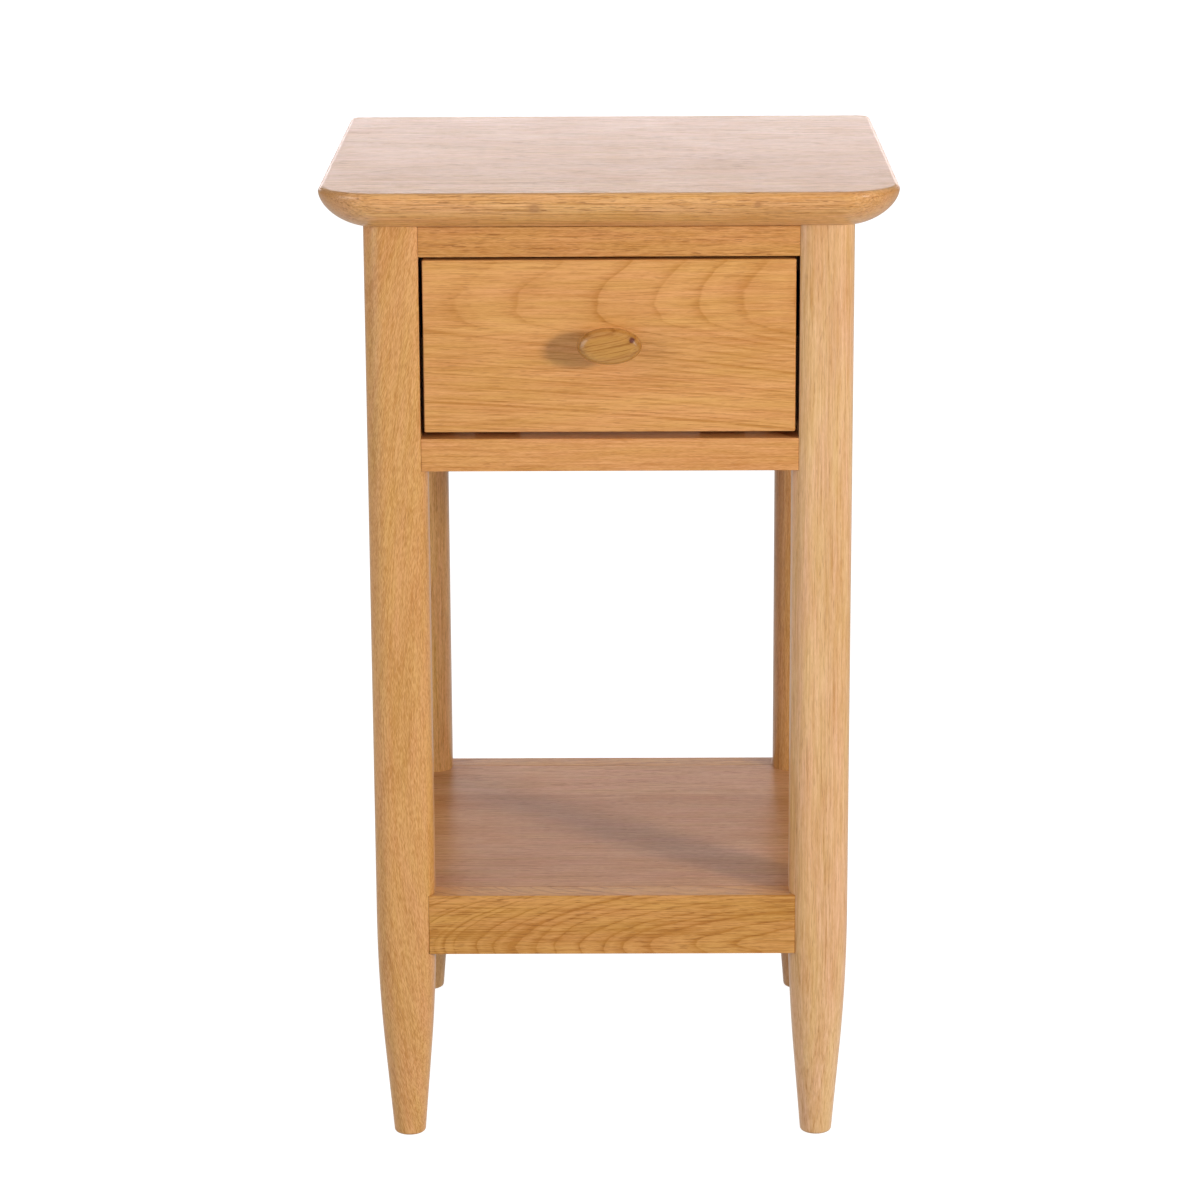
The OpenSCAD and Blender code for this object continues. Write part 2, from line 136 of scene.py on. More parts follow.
class Tree:
    """Short calls for building a node tree."""

    def __init__(self, tree):
        self.tree = tree

    def node(self, kind, inputs=None, **props):
        node = self.tree.nodes.new(kind)
        for name, value in props.items():
            setattr(node, name, value)
        for key, value in (inputs or {}).items():
            self.put(node.inputs[key], value)
        return node

    def put(self, socket, value):
        if isinstance(value, bpy.types.NodeSocket):
            self.tree.links.new(value, socket)
        else:
            socket.default_value = value

    def math(self, operation, *values, clamp=False):
        inputs = dict(enumerate(values))
        return self.node("ShaderNodeMath", inputs, operation=operation, use_clamp=clamp).outputs[0]

    def vector_math(self, operation, *values):
        return self.node("ShaderNodeVectorMath", dict(enumerate(values)), operation=operation).outputs[0]

    def separate(self, vector):
        return self.node("ShaderNodeSeparateXYZ", {0: vector}).outputs

    def join(self, x, y, z):
        return self.node("ShaderNodeCombineXYZ", {0: x, 1: y, 2: z}).outputs[0]

    def noise(self, vector, detail=2, roughness=0.5):
        inputs = {"Vector": vector, "Scale": 1, "Detail": detail, "Roughness": roughness}
        return self.node("ShaderNodeTexNoise", inputs).outputs[0]

    def chance(self, number):
        """A random value from 0 to 1 that is the same wherever the number is the same."""
        return self.node("ShaderNodeTexWhiteNoise", {"W": number}, noise_dimensions="1D").outputs[0]

    def stretch(self, vector, along, across):
        """The board vector in units of a feature's length and width."""
        return self.vector_math("DIVIDE", vector, (along, across, across))

    def ramp(self, value, stops):
        """A grey level that runs through the (position, level) stops."""
        node = self.node("ShaderNodeValToRGB", {"Fac": value})
        elements = node.color_ramp.elements
        while len(elements) < len(stops):
            elements.new(0.5)
        for element, (position, level) in zip(elements, stops):
            element.position = position
            element.color = (level, level, level, 1)
        return node.outputs[0]

    def spread(self, value, low, high, to_low=0, to_high=1):
        """The value from its range low to high, spread over to_low to to_high and held there."""
        inputs = {0: value, 1: low, 2: high, 3: to_low, 4: to_high}
        return self.node("ShaderNodeMapRange", inputs).outputs[0]

    def mix_colour(self, share, first, second, blend="MIX"):
        node = self.node("ShaderNodeMix", data_type="RGBA", blend_type=blend)
        self.put(node.inputs["Factor"], share)
        colour_sockets = [i for i in node.inputs if i.type == "RGBA"]
        for socket, colour in zip(colour_sockets, (first, second)):
            self.put(socket, colour)
        return next(o for o in node.outputs if o.type == "RGBA")


# the grain's features, as their length and width in mm
WAVES = (130, 34)
RIPPLES = (34, 6)
PATCHES = (90, 14)
FINE_PORES = (9, 0.72)
LONG_PORES = (27, 0.95)
STREAKS = (26, 0.95)
STRANDS = (110, 2.2)
FLECKS = (4.6, 0.62)
BROAD_TONES = (170, 26)
HUES = (75, 9)

CROWD_START = -14
RIPPLE_HEIGHT = 0.14
UNEVENNESS = 1.3
FLECK_LEAN = 0.2
# darkness through one ring: a narrow porous band, then the dense late wood
RING_STOPS = ((0, 0.3), (0.06, 1), (0.13, 0.8), (0.25, 0.4), (0.6, 0.08), (1, 0.3))


def grain_group():
    """Node group of solid oak. Board is the place in millimetres from the pith, x along the grain.
    Slope and Swell taper the rings along the board, and Crowd presses them together on the low side.
    Ring is a ring's width, Wander how far the rings stray, and Fleck how strong the flecks are."""
    tree = bpy.data.node_groups.new("oak grain", "ShaderNodeTree")
    face = tree.interface
    face.new_socket("Board", in_out="INPUT", socket_type="NodeSocketVector")
    for name in ("Slope", "Swell", "Crowd", "Ring", "Wander", "Fleck"):
        face.new_socket(name, in_out="INPUT", socket_type="NodeSocketFloat")
    for name in ("Growth", "Pore", "Fibre", "Broad"):
        face.new_socket(name, in_out="OUTPUT", socket_type="NodeSocketFloat")
    t = Tree(tree)
    given = t.node("NodeGroupInput").outputs
    grain = given["Board"]
    along, across, through = t.separate(grain)

    # distance from the pith, which the tree's taper and its uneven growth change
    below = t.math("MINIMUM", t.math("SUBTRACT", across, CROWD_START), 0)
    side = t.math("MULTIPLY_ADD", below, given["Crowd"], across)
    radius = t.math("SQRT", t.math("MULTIPLY_ADD", side, side, t.math("MULTIPLY", through, through)))
    taper = t.math("MULTIPLY", along, t.math("MULTIPLY_ADD", along, given["Swell"], given["Slope"]))
    large = t.spread(t.noise(t.stretch(grain, *WAVES)), 0, 1, -1, 1)
    small = t.spread(t.noise(t.stretch(grain, *RIPPLES)), 0, 1, -RIPPLE_HEIGHT, RIPPLE_HEIGHT)
    wander = t.math("MULTIPLY", t.math("ADD", large, small), given["Wander"])
    phase = t.math("DIVIDE", t.math("ADD", t.math("ADD", radius, taper), wander), given["Ring"])
    uneven = t.node("ShaderNodeTexNoise", {"W": phase, "Scale": 0.8, "Detail": 1},
                    noise_dimensions="1D").outputs[0]
    phase = t.math("MULTIPLY_ADD", uneven, UNEVENNESS, phase)

    # each ring starts with a dark porous band and ends pale; no two are equally strong
    band = t.ramp(t.math("FRACT", phase), RING_STOPS)
    year = t.spread(t.chance(t.math("FLOOR", phase)), 0, 1, 0.5, 1.2)
    patch = t.spread(t.noise(t.stretch(grain, *PATCHES)), 0.3, 0.7, 0.4, 1)
    growth = t.math("MULTIPLY", band, t.math("MULTIPLY", year, patch))

    # open pores: short dark dashes, most of them in the porous band
    fine = t.noise(t.stretch(grain, *FINE_PORES), 1)
    long = t.noise(t.stretch(grain, *LONG_PORES), 2, 0.6)
    dash = t.math("MAXIMUM", t.spread(fine, 0.58, 0.66), t.spread(long, 0.58, 0.68, 0, 0.9))
    pore = t.math("MULTIPLY", dash, t.spread(band, 0, 0.8, 0.4, 1))

    # the fibres' own streaks, and flecks that cross them at two slants
    streak = t.spread(t.noise(t.stretch(grain, *STREAKS), 3, 0.7), 0.3, 0.7, -1, 1)
    strand = t.spread(t.noise(t.stretch(grain, *STRANDS), 3, 0.6), 0.3, 0.7, -1, 1)
    fleck = 0
    for lean in (-FLECK_LEAN, FLECK_LEAN):
        leaning = t.join(along, t.math("MULTIPLY_ADD", along, lean, across), through)
        layer = t.spread(t.noise(t.stretch(leaning, *FLECKS), 1), 0.33, 0.67, -0.6, 0.6)
        fleck = t.math("ADD", layer, fleck)
    fibre = t.math("MULTIPLY_ADD", strand, 0.5, t.math("MULTIPLY_ADD", fleck, given["Fleck"], streak))

    # slow changes of tone over the board
    broad = t.spread(t.noise(t.stretch(grain, *BROAD_TONES)), 0.3, 0.7, -1, 1)
    ends = t.node("NodeGroupOutput").inputs
    for name, value in zip(("Growth", "Pore", "Fibre", "Broad"), (growth, pore, fibre, broad)):
        t.put(ends[name], value)
    return tree


GRAIN = grain_group()
AXES = {"x": 0, "y": 1, "z": 2}

# the wood's tones as shares of a board's own colour, in linear light
PALE = (1.15, 1.24, 1.50)
DARK = (0.84, 0.75, 0.55)
PORE = (0.48, 0.35, 0.20)
KNOT_DARK = (0.28, 0.11, 0.06)
ROSY = (1.015, 0.985, 1.03, 1)
OLIVE = (0.98, 1.015, 0.88, 1)

END_GRAIN_SHARE = 0.45
COAT_ROUGHNESS = 0.16
RELIEF_DEPTH = 0.12 * MM
# how far the next stave of a glued board lies in the tree, in mm
STAVE_SHIFT = (900, 60, 35)
STAVE_TONE = 0.16


def tinted(base, shares):
    return tuple(min(1, c * share) for c, share in zip(base, shares)) + (1,)


def oak(name, axes, colour, pith=(0, 30, 60), slope=0.0, swell=0.0, crowd=0.0, ring=4.0,
        wander=3.0, slant=0.0, curl=0.0, figure=0.3, fibres=0.4, flecks=0.5, pores=0.5,
        staves=0.0, roughness=0.36, coat=0.3, specular=0.5, relief=0.35, knots=()):
    """Lacquered oak. Axes names the table's axes that lie along the grain, across the
    board's face and through its thickness. Pith is the board's place in the tree, in mm.
    Slant leans the fibres, and curl bends them along the board. Figure, fibres, flecks and pores
    say how strongly each shows. Staves is the width in mm of the strips that a wide board is glued
    from. A knot is x, y, z and a radius in mm, and how dark it is."""
    material = bpy.data.materials.new(name)
    material.use_nodes = True
    material.diffuse_color = srgb(*colour)
    t = Tree(material.node_tree)
    shader = material.node_tree.nodes["Principled BSDF"]

    spot = t.node("ShaderNodeTexCoord").outputs["Object"]
    spot = t.vector_math("DIVIDE", spot, (MM, MM, MM))
    parts = t.separate(spot)
    along, across, through = (parts[AXES[a]] for a in axes)
    if slant or curl:
        length = t.math("SUBTRACT", along, pith[0])
        lean = t.math("MULTIPLY_ADD", length, curl, slant)
        across = t.math("MULTIPLY_ADD", length, lean, across)
    stave_tone = 0.0
    if staves:
        stave = t.math("FLOOR", t.math("DIVIDE", t.math("ADD", across, 0.37 * staves), staves))
        chance = t.chance(t.math("ADD", stave, pith[0] + 0.5))
        along, across, through = (t.math("MULTIPLY_ADD", chance, shift, part)
                                  for shift, part in zip(STAVE_SHIFT, (along, across, through)))
        stave_tone = t.spread(chance, 0, 1, -STAVE_TONE, STAVE_TONE)
    grain = t.join(along, across, through)
    grain = t.vector_math("SUBTRACT", grain, pith)
    inputs = {"Board": grain, "Slope": slope, "Swell": swell, "Crowd": crowd, "Ring": ring,
              "Wander": wander, "Fleck": flecks}
    wood = t.node("ShaderNodeGroup", node_tree=GRAIN)
    for key, value in inputs.items():
        t.put(wood.inputs[key], value)
    growth, pore, fibre, broad = (wood.outputs[k] for k in ("Growth", "Pore", "Fibre", "Broad"))

    tone = t.math("MULTIPLY_ADD", growth, figure, 0.5 - figure / 4)
    tone = t.math("MULTIPLY_ADD", fibre, fibres, tone)
    tone = t.math("MULTIPLY_ADD", broad, 0.18, tone)
    tone = t.math("ADD", tone, stave_tone, clamp=True)
    base = srgb(*colour)
    pore_colour = tinted(base, PORE)
    knot_colour = tinted(base, KNOT_DARK)
    paint = t.mix_colour(tone, tinted(base, PALE), tinted(base, DARK))
    hue = t.spread(t.noise(t.stretch(grain, *HUES)), 0.32, 0.68)
    paint = t.mix_colour(1.0, paint, t.mix_colour(hue, ROSY, OLIVE), blend="MULTIPLY")
    paint = t.mix_colour(t.math("MULTIPLY", pore, pores), paint, pore_colour)
    facing = t.separate(t.node("ShaderNodeTexCoord").outputs["Normal"])[AXES[axes[0]]]
    end_grain = t.spread(t.math("ABSOLUTE", facing), 0.2, 0.85)
    paint = t.mix_colour(t.math("MULTIPLY", end_grain, END_GRAIN_SHARE), paint, pore_colour)
    for x, y, z, radius, strength in knots:
        away = t.node("ShaderNodeVectorMath", {0: spot, 1: (x, y, z)},
                      operation="DISTANCE").outputs["Value"]
        away = t.math("MULTIPLY_ADD", fibre, 0.12 * radius, away)
        paint = t.mix_colour(t.spread(away, radius * 2, radius, 0, 0.25), paint, pore_colour)
        paint = t.mix_colour(t.spread(away, radius * 1.15, radius * 0.8, 0, strength), paint, knot_colour)
    t.put(shader.inputs["Base Color"], paint)

    handled = t.noise(t.vector_math("DIVIDE", grain, (40, 30, 30)), 3, 0.6)
    gloss = t.spread(handled, 0.3, 0.7, roughness - 0.04, roughness + 0.04)
    t.put(shader.inputs["Roughness"], t.math("MULTIPLY_ADD", pore, 0.12, gloss))
    shader.inputs["Coat Weight"].default_value = coat
    shader.inputs["Specular IOR Level"].default_value = specular
    shader.inputs["Coat Roughness"].default_value = COAT_ROUGHNESS
    height = t.math("SUBTRACT", t.math("MULTIPLY", fibre, 0.2), pore)
    bump = t.node("ShaderNodeBump", {"Strength": relief, "Distance": RELIEF_DEPTH, "Height": height})
    t.put(shader.inputs["Normal"], bump.outputs[0])
    return material


def steel():
    """Zinc-plated screw steel with a cloudy finish."""
    material = bpy.data.materials.new("zinc_steel")
    material.use_nodes = True
    t = Tree(material.node_tree)
    shader = material.node_tree.nodes["Principled BSDF"]
    spot = t.vector_math("DIVIDE", t.node("ShaderNodeTexCoord").outputs["Object"], (MM, MM, MM))
    cloud = t.noise(t.vector_math("DIVIDE", spot, (3, 3, 3)), 3, 0.6)
    t.put(shader.inputs["Base Color"], t.mix_colour(cloud, (0.52, 0.53, 0.54, 1), (0.68, 0.68, 0.69, 1)))
    t.put(shader.inputs["Roughness"], t.spread(cloud, 0, 1, 0.28, 0.45))
    shader.inputs["Metallic"].default_value = 1
    return material


# ---------------------------------------------------------------- boards of the table

top_low, top_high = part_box("top_board")
leg_low, leg_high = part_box("leg_front_right")
back_leg_low, back_leg_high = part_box("leg_back_right")
LEG_HALF = (leg_high.x - leg_low.x) / 2
LEG_X = (leg_low.x + leg_high.x) / 2
FRONT_Y = (leg_low.y + leg_high.y) / 2
BACK_Y = (back_leg_low.y + back_leg_high.y) / 2
RECESS = 4 * MM
UNDER_Z = top_low.z
CASE_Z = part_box("lower_front_rail")[0].z
SHELF_LOW, SHELF_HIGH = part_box("shelf_front_rail")

TOP_FRONT_R = 40 * MM
TOP_BACK_R = 5 * MM
TOP_ARRIS = 3.5 * MM
UNDERCUT_IN = 30.5 * MM
UNDERCUT_N = 1.7


def top_ring(inset, back_inset, z):
    """Outline of the top at one height: inset at the front and sides, and at the back."""
    half = top_high.x - inset
    front = top_low.y + inset
    back = top_high.y - back_inset
    front_r = TOP_FRONT_R - inset
    corners = (
        (half - TOP_BACK_R, back - TOP_BACK_R, TOP_BACK_R, 0, 6),
        (-half + TOP_BACK_R, back - TOP_BACK_R, TOP_BACK_R, 90, 6),
        (-half + front_r, front + front_r, front_r, 180, 24),
        (half - front_r, front + front_r, front_r, 270, 24),
    )
    ring = []
    for x, y, radius, start, steps in corners:
        for i in range(steps + 1):
            a = math.radians(start + 90 * i / steps)
            ring.append((x + radius * math.cos(a), y + radius * math.sin(a), z))
    return ring


def build_top():
    """The top board: a superellipse undercut below the widest line, a round arris above."""
    thick = top_high.z - top_low.z
    back_arris = 1.2 * MM
    rings = []
    steps = 26
    for i in range(steps, -1, -1):
        a = math.radians(90 * i / steps)
        inset = UNDERCUT_IN * (1 - math.cos(a) ** (2 / UNDERCUT_N))
        down = (thick - TOP_ARRIS) * math.sin(a) ** (2 / UNDERCUT_N)
        z = top_high.z - TOP_ARRIS - down
        over_floor = min(1, (z - top_low.z) / back_arris)
        rings.append(top_ring(inset, back_arris * (1 - math.sqrt(1 - (1 - over_floor) ** 2)), z))
    for i in range(1, 10):
        a = math.radians(10 * i)
        z = top_high.z - TOP_ARRIS * (1 - math.sin(a))
        under_top = min(1, (top_high.z - z) / back_arris)
        rings.append(top_ring(TOP_ARRIS * (1 - math.cos(a)),
                              back_arris * (1 - math.sqrt(1 - (1 - under_top) ** 2)), z))
    return skin("top", rings)


# the leg: half width and rounding at each height
TAPER_Z = 160 * MM
STRAIGHT_Z = 61 * MM
TAPER_R = 1180 * MM
LEG_R_SHARE = 0.7
FOOT_R_SHARE = 0.98
FOOT_ARRIS = 2 * MM
# the leg reaches a little into the top, whose undercut starts behind the leg's face
LEG_INTO_TOP = 1.1 * MM


def leg_half(z):
    """Half the width of the leg: straight, then a long arc, then a straight taper."""
    def arc(height):
        return TAPER_R - math.sqrt(TAPER_R ** 2 - (TAPER_Z - height) ** 2)
    if z >= TAPER_Z:
        return LEG_HALF
    if z >= STRAIGHT_Z:
        return LEG_HALF - arc(z)
    slope = (TAPER_Z - STRAIGHT_Z) / math.sqrt(TAPER_R ** 2 - (TAPER_Z - STRAIGHT_Z) ** 2)
    return LEG_HALF - arc(STRAIGHT_Z) - slope * (STRAIGHT_Z - z)


def leg_ring(x, y, z, inset=0.0):
    """Outline of the leg at one height: a square whose corners grow rounder towards the foot."""
    half = leg_half(z) - inset
    share = LEG_R_SHARE + (FOOT_R_SHARE - LEG_R_SHARE) * (1 - min(z, TAPER_Z) / TAPER_Z)
    radius = half * share
    ring = []
    steps = 12
    for corner in range(4):
        middle = math.radians(45 + 90 * corner)
        for i in range(steps + 1):
            a = math.radians(90 * corner + 90 * i / steps)
            ring.append((x + math.copysign(half - radius, math.cos(middle)) + radius * math.cos(a),
                         y + math.copysign(half - radius, math.sin(middle)) + radius * math.sin(a), z))
    return ring


def build_leg(name, side, centre_y):
    """A leg with its foot's arris, and its two inner faces planed where the rails meet it."""
    x = side * LEG_X
    rings = []
    for i in range(5):
        a = math.radians(90 * i / 4)
        rings.append(leg_ring(x, centre_y, FOOT_ARRIS * (1 - math.cos(a)), FOOT_ARRIS * (1 - math.sin(a))))
    levels = [z * MM for z in (8, 20, 34, 48)]
    levels += [STRAIGHT_Z + (TAPER_Z - STRAIGHT_Z) * i / 14 for i in range(15)]
    rings += [leg_ring(x, centre_y, z) for z in levels]
    rings.append(leg_ring(x, centre_y, UNDER_Z + LEG_INTO_TOP))
    leg = skin(name, rings)
    flat = LEG_HALF - RECESS
    reach = 2 * LEG_HALF
    toward = 1 if centre_y < 0 else -1
    for low_z, high_z in ((CASE_Z, UNDER_Z + RECESS), (SHELF_LOW.z, SHELF_HIGH.z)):
        inner_x = sorted((x - side * flat, x - side * reach))
        cut_block(leg, (inner_x[0], centre_y - reach, low_z), (inner_x[1], centre_y + reach, high_z))
        inner_y = sorted((centre_y + toward * flat, centre_y + toward * reach))
        cut_block(leg, (x - reach, inner_y[0], low_z), (x + reach, inner_y[1], high_z))
    return leg


TENON = 18 * MM
TENON_ARRIS = 0.5 * MM
TENON_OVERLAP = 0.3 * MM
# shoulders of each rail's tenons in mm: low and high in the rail's thickness, then in height
TENONS = {
    "upper_front_rail": ((6, 6), (6, 6)),
    "lower_front_rail": ((6, 6), (7, 7)),
    "back_apron": ((5, 5), (6, 18)),
    "side_apron_left": ((5, 5), (6, 18)),
    "side_apron_right": ((5, 5), (6, 18)),
    "shelf_front_rail": ((6, 6), (6, 6)),
    "shelf_back_rail": ((6, 6), (6, 6)),
    "shelf_side_rail_left": ((5, 7), (6, 6)),
    "shelf_side_rail_right": ((7, 5), (6, 6)),
}


def rail_and_tenons(node):
    """Corners of the rail between its shoulders, and of its two tenons, and its long axis."""
    low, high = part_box(node)
    long_axis = 0 if high.x - low.x > high.y - low.y else 1
    thin_axis = 1 - long_axis
    body = [low.copy(), high.copy()]
    body[0][long_axis] += TENON
    body[1][long_axis] -= TENON
    (thin_low, thin_high), (z_low, z_high) = TENONS[node]
    tenons = []
    for end in (0, 1):
        first = low.copy()
        last = high.copy()
        first[thin_axis] += thin_low * MM
        last[thin_axis] -= thin_high * MM
        first.z += z_low * MM
        last.z -= z_high * MM
        if end == 0:
            last[long_axis] = body[0][long_axis]
        else:
            first[long_axis] = body[1][long_axis]
        tenons.append((first, last))
    return body, tenons, long_axis


def build_rail(node, name, arris):
    """A rail with its tenons, which start inside it so that the union holds."""
    body, tenons, axis = rail_and_tenons(node)
    rail = board(name, body[0], body[1], arris)
    for end, (first, last) in enumerate(tenons):
        if end == 0:
            last[axis] += TENON_OVERLAP + arris
        else:
            first[axis] -= TENON_OVERLAP + arris
        combine(rail, board("tenon", first, last, TENON_ARRIS, 1), "UNION")
    return rail


# ---------------------------------------------------------------- materials

TOP = oak("oak_top", "xyz", (222, 163, 98), pith=(0, 40, -70), slope=0.02, ring=3.4, wander=3.5,
          figure=0.5, fibres=0.62, flecks=0.3, pores=0.9, staves=92, coat=0.25, specular=0.7,
          relief=0.8, knots=((-48, -181.5, 652, 3.6, 0.22), (96, -182, 655, 2, 0.2)))
UPPER_RAIL = oak("oak_upper_rail", "xzy", (203, 142, 76), pith=(0, 590, -40), slope=0.01, ring=3,
                 wander=2.5, figure=0.6, fibres=0.5, pores=0.75)
LOWER_RAIL = oak("oak_lower_rail", "xzy", (213, 149, 86), pith=(40, 430, -60), slope=0.012, ring=3.2,
                 wander=2, figure=0.35, fibres=0.4, pores=0.35)
FRONT = oak("oak_drawer_front", "xzy", (210, 148, 82), pith=(-35, 588, -75), slope=-0.19, swell=-0.0003,
            crowd=1.8, ring=8, wander=2.4, figure=0.95, fibres=0.4, flecks=0.3, pores=0.4)
SHELF_RAIL = oak("oak_shelf_rail", "xzy", (196, 137, 69), pith=(0, 142, -130), slope=-0.17, swell=0.00054,
                 ring=3.2, wander=2.9, figure=1.6, fibres=0.55, flecks=0.3, pores=0.7, coat=0.1,
                 specular=0.35)
SHELF = oak("oak_shelf", "xyz", (192, 136, 88), pith=(70, 120, 60), slope=0.01, ring=3, wander=3,
            figure=0.35, fibres=0.5, pores=0.6, staves=118, coat=0.0, specular=0.25)
LEG_LEFT = oak("oak_leg_left", "zxy", (209, 151, 87), pith=(0, -105, -118), slope=-0.04, ring=3.2,
               wander=3, slant=0.254, curl=-0.000423, figure=0.4, fibres=0.3, flecks=1.8, pores=0.3)
LEG_RIGHT = oak("oak_leg_right", "zxy", (219, 170, 119), pith=(30, 90, -260), slope=0.012, ring=2.6,
                wander=2, figure=0.4, fibres=0.4, flecks=0.3, pores=0.4)
LEG_BACK_LEFT = oak("oak_leg_back_left", "zxy", (222, 168, 104), pith=(60, -230, 210), slope=0.02, ring=3,
                    wander=3, figure=0.5, fibres=0.4, flecks=0.8, pores=0.5)
LEG_BACK_RIGHT = oak("oak_leg_back", "zxy", (192, 138, 80), pith=(300, 100, 260), slope=0.02, ring=3,
                     wander=3, figure=0.5, fibres=0.4, flecks=0.8, pores=0.5)
LEG_WOOD = {
    "leg_front_left": LEG_LEFT, "leg_front_right": LEG_RIGHT,
    "leg_back_left": LEG_BACK_LEFT, "leg_back_right": LEG_BACK_RIGHT,
}
APRON = oak("oak_apron", "yzx", (205, 145, 80), pith=(0, 540, 60), slope=0.1, ring=6, wander=4.5,
            figure=0.55, pores=0.55)
BACK_APRON = oak("oak_back_apron", "xzy", (205, 145, 80), pith=(20, 520, 60), slope=0.1, ring=6,
                 wander=4.5, figure=0.55, pores=0.55)
SHELF_SIDE = oak("oak_shelf_side", "yzx", (196, 137, 72), pith=(0, 140, 95), slope=0.12, ring=3.5,
                 wander=4, figure=0.8, pores=0.6)
KNOB = oak("oak_knob", "xzy", (182, 125, 55), pith=(0, 480, -120), ring=3.4, wander=1.5, slant=-0.2,
           figure=2.0, fibres=0.6, flecks=0.2, pores=0.35, coat=0.6, specular=0.4,
           knots=((14.2, -176.5, 565.4, 2.4, 1),))
BOX = oak("oak_drawer_box", "yzx", (216, 168, 116), pith=(0, 500, 90), slope=0.04, ring=3.4, wander=3,
          figure=0.35, pores=0.45, roughness=0.5)
BOX_CROSS = oak("oak_drawer_back", "xzy", (216, 168, 116), pith=(0, 500, 30), slope=0.04, ring=3.4,
                wander=3, figure=0.35, pores=0.45, roughness=0.5)
BOX_FLOOR = oak("oak_drawer_floor", "xyz", (220, 176, 126), pith=(0, 60, 300), slope=0.02, ring=4,
                wander=5, figure=0.4, pores=0.4, roughness=0.5)
INNER = oak("wood_inner", "yzx", (212, 166, 114), pith=(0, 480, 60), slope=0.03, ring=3, wander=3,
            figure=0.35, pores=0.4, roughness=0.62)
STEEL = steel()

# ---------------------------------------------------------------- pieces on the frame

place(build_top(), "frame", "top_oak", TOP, "top_board")

for side_name, side in (("left", -1), ("right", 1)):
    for end_name, centre_y in (("front", FRONT_Y), ("back", BACK_Y)):
        node = f"leg_{end_name}_{side_name}"
        leg = build_leg(f"{end_name}_{side_name}_leg", side, centre_y)
        place(leg, "frame", "frame_oak", LEG_WOOD[node], node)

RAIL_ARRIS = 0.6 * MM
# each rail's node: its piece's name, its wood and its slot
RAILS = {
    "upper_front_rail": ("upper_rail", UPPER_RAIL, "frame_oak"),
    "lower_front_rail": ("lower_rail", LOWER_RAIL, "frame_oak"),
    "back_apron": ("back_panel", BACK_APRON, "frame_oak"),
    "side_apron_left": ("left_panel", APRON, "frame_oak"),
    "side_apron_right": ("right_panel", APRON, "frame_oak"),
    "shelf_front_rail": ("shelf_front", SHELF_RAIL, "shelf_oak"),
    "shelf_back_rail": ("shelf_back", SHELF_RAIL, "shelf_oak"),
    "shelf_side_rail_left": ("shelf_left", SHELF_SIDE, "shelf_oak"),
    "shelf_side_rail_right": ("shelf_right", SHELF_SIDE, "shelf_oak"),
}
for node, (name, material, slot) in RAILS.items():
    place(build_rail(node, name, RAIL_ARRIS), "frame", slot, material, node)

# shelf panel between its rails, notched round the legs
flat_x = LEG_X - LEG_HALF + RECESS
panel_low, panel_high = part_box("shelf_panel")
panel_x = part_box("shelf_side_rail_right")[0].x
panel_front = SHELF_HIGH.y
panel_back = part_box("shelf_back_rail")[0].y
panel = board("shelf_board", (-panel_x, panel_front, panel_low.z), (panel_x, panel_back, panel_high.z),
              0.4 * MM)
notches = ((panel_front - RECESS, FRONT_Y + LEG_HALF - RECESS),
           (BACK_Y - LEG_HALF + RECESS, panel_back + RECESS))
for side in (-1, 1):
    first_x, last_x = sorted((side * flat_x, side * (panel_x + RECESS)))
    for first_y, last_y in notches:
        cut_block(panel, (first_x, first_y, panel_low.z - RECESS), (last_x, last_y, panel_high.z + RECESS))
place(panel, "frame", "shelf_oak", SHELF, "shelf_panel")

# ---------------------------------------------------------------- pieces on the drawer

front_low, front_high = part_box("drawer_front")
front = board("drawer_face", front_low, front_high, 1 * MM)
for node in ("drawer_side_left", "drawer_side_right", "drawer_bottom"):
    combine(front, nodes[node], "DIFFERENCE", keep_tool=True)
place(front, "drawer", "front_oak", FRONT, "drawer_front")


def build_knob():
    """A hand-rounded oval knob: a waisted neck, a flared head and a low crown."""
    low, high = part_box("drawer_knob")
    half_w = (high.x - low.x) / 2
    half_h = (high.z - low.z) / 2
    centre_x = (high.x + low.x) / 2
    centre_z = (high.z + low.z) / 2
    out = high.y - low.y
    neck = 0.6
    waist = 0.22
    rim = 0.72
    steps = 14
    profile = [(neck + 0.06, 0), (neck + 0.015, 0.05), (neck, 0.12)]
    for i in range(steps + 1):
        a = math.radians(90 * i / steps)
        profile.append((neck + (1 - neck) * (1 - math.cos(a)) ** 0.9, waist + (rim - waist) * math.sin(a)))
    for i in range(1, 2 * steps):
        share = math.cos(math.radians(90 * i / (2 * steps)))
        profile.append((share, rim + (1 - rim) * (1 - share ** 6) ** 0.6))
    count = 72
    rings = []
    for share, height in profile:
        ring = []
        for i in range(count):
            a = 2 * math.pi * i / count
            ring.append((centre_x + half_w * share * math.cos(a), high.y - out * height,
                         centre_z + half_h * share * math.sin(a)))
        rings.append(ring)
    return skin("knob", rings)


place(build_knob(), "drawer", "knob_oak", KNOB, "drawer_knob")

# ---------------------------------------------------------------- CAD nodes that are shown as they are

CARRIED = {
    "drawer_side_left": BOX, "drawer_side_right": BOX, "drawer_back": BOX_CROSS, "drawer_bottom": BOX_FLOOR,
    "drawer_runner_left": INNER, "drawer_runner_right": INNER,
    "drawer_guide_left": INNER, "drawer_guide_right": INNER,
    "drawer_kicker_left": INNER, "drawer_kicker_right": INNER,
    "drawer_stops": INNER, "top_buttons": INNER,
    "button_screws": STEEL, "top_screws": STEEL, "runner_screws": STEEL,
    "knob_screw": STEEL, "bottom_screws": STEEL,
}
for node, material in CARRIED.items():
    obj = nodes[node]
    obj.data.materials.clear()
    obj.data.materials.append(material)

# ---------------------------------------------------------------- floor, light and camera

